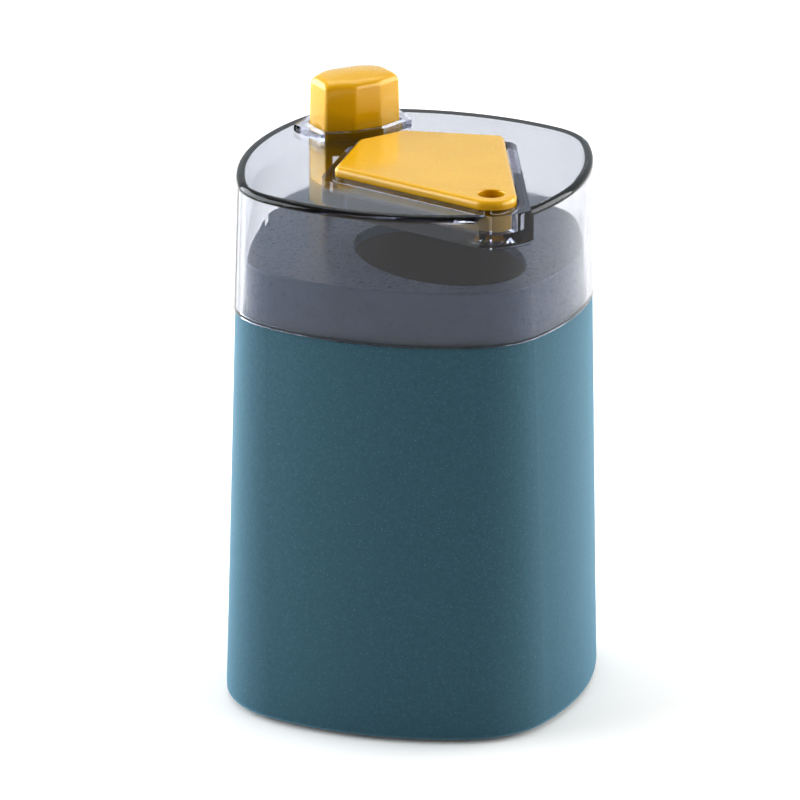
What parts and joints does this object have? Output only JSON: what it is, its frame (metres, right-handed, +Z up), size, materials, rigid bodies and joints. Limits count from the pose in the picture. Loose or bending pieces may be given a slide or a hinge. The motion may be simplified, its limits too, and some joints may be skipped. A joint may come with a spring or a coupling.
{
  "type": "toothpick dispenser",
  "caption": "Tapered square table dispenser with a clear lift-off lid; pressing the top button rocks a lever that lifts a toothpick through the kite-shaped serving plate.",
  "frame": {"origin": "on the table, under the centre of the barrel", "axes": "+Z up; the front face looks along -Y; the button stands over the corner between -X and +Y and the plate's outlet over the corner between +X and -Y"},
  "size_m": [0.062, 0.062, 0.1029],
  "materials": {
    "barrel": "fine speckled blue-green",
    "neck": "satin grey",
    "hopper": "dark grey",
    "clear_lid": "clear with a light smoke tint",
    "yellow": "glossy yellow",
    "base": "plain blue-green",
    "feet": "black rubber",
    "frame": "grey",
    "linkage": "natural white",
    "steel": "bright steel",
    "spring": "drawn spring wire"
  },
  "bodies": {
    "base": {"outer_barrel": "barrel", "base_cover": "base", "rubber_feet": "feet", "base_screws": "steel", "neck_deck": "neck", "hopper_bin": "hopper", "hopper_floor": "hopper", "hopper_screws": "steel", "lifter_channel": "frame", "lever_bracket": "frame", "bracket_screws": "steel", "pivot_pin": "steel", "pivot_clips": "steel", "return_spring": "spring"},
    "button": {"button_cap": "yellow", "leg_bridge": "frame", "push_rod": "linkage"},
    "lever": {"lever": "linkage"},
    "lifter": {"lifter": "linkage", "link_pin": "steel"},
    "lid": {"lid_shell": "clear_lid", "serving_plate": "yellow"}
  },
  "joints": [
    {"name": "button_press", "type": "slide", "parent": "base", "child": "button", "axis": [0, 0, -1], "range_m": [0, 0.0088], "stiffness_N_per_m": 300, "springref_m": -0.004, "deforming": ["return_spring"]},
    {"name": "lever_rock", "type": "hinge", "parent": "base", "child": "lever", "pos_m": [-0.00423, 0.00423, 0.0142], "axis": [-0.7071, -0.7071, 0], "range_deg": [0, 30.01]},
    {"name": "lifter_rise", "type": "slide", "parent": "base", "child": "lifter", "axis": [0, 0, 1], "range_m": [0, 0.01795]},
    {"name": "lid_lift", "type": "slide", "parent": "base", "child": "lid", "axis": [0, 0, 1], "range_m": [0, 0.04]}
  ],
  "couplings": [
    {"joint": "lever_rock", "follows": "button_press", "rad_per_m": 59.501},
    {"joint": "lifter_rise", "follows": "button_press", "ratio": 2.0393}
  ]
}
